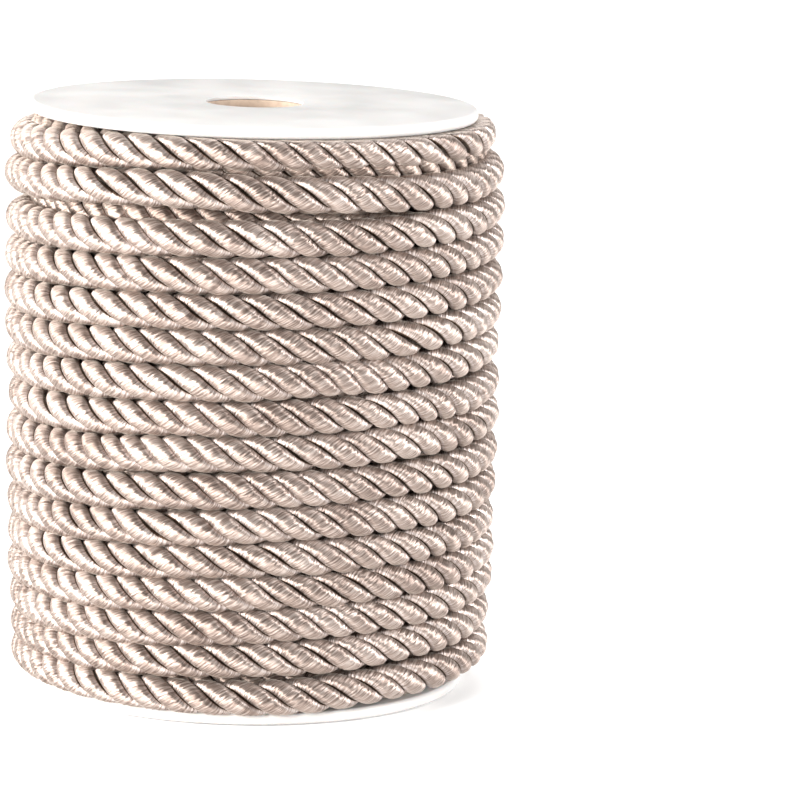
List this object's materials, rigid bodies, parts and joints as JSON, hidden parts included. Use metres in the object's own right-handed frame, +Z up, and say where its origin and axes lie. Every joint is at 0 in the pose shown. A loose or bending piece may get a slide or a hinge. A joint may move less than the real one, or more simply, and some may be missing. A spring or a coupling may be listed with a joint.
{
  "type": "twisted nylon rope wound on a flanged spool",
  "caption": "Satin three-strand twisted cord in champagne, wound in one close outer layer on a plain white flanged spool.",
  "frame": {"origin": "on the spool's axis, on the surface that the lower flange stands on", "axes": "+Z up along the spool's axis, -Y towards the side that the picture shows, +X to that side's right"},
  "size_m": [0.0865, 0.0864, 0.1],
  "materials": {
    "nylon_rope": "satin filament",
    "spool_plastic": "moulded, smooth",
    "core_board": "wound paperboard, raw"
  },
  "bodies": {
    "root": {"rope_winding": "nylon_rope", "spool_core": "core_board", "spool_top_flange": "spool_plastic", "spool_bottom_flange": "spool_plastic"}
  },
  "joints": []
}
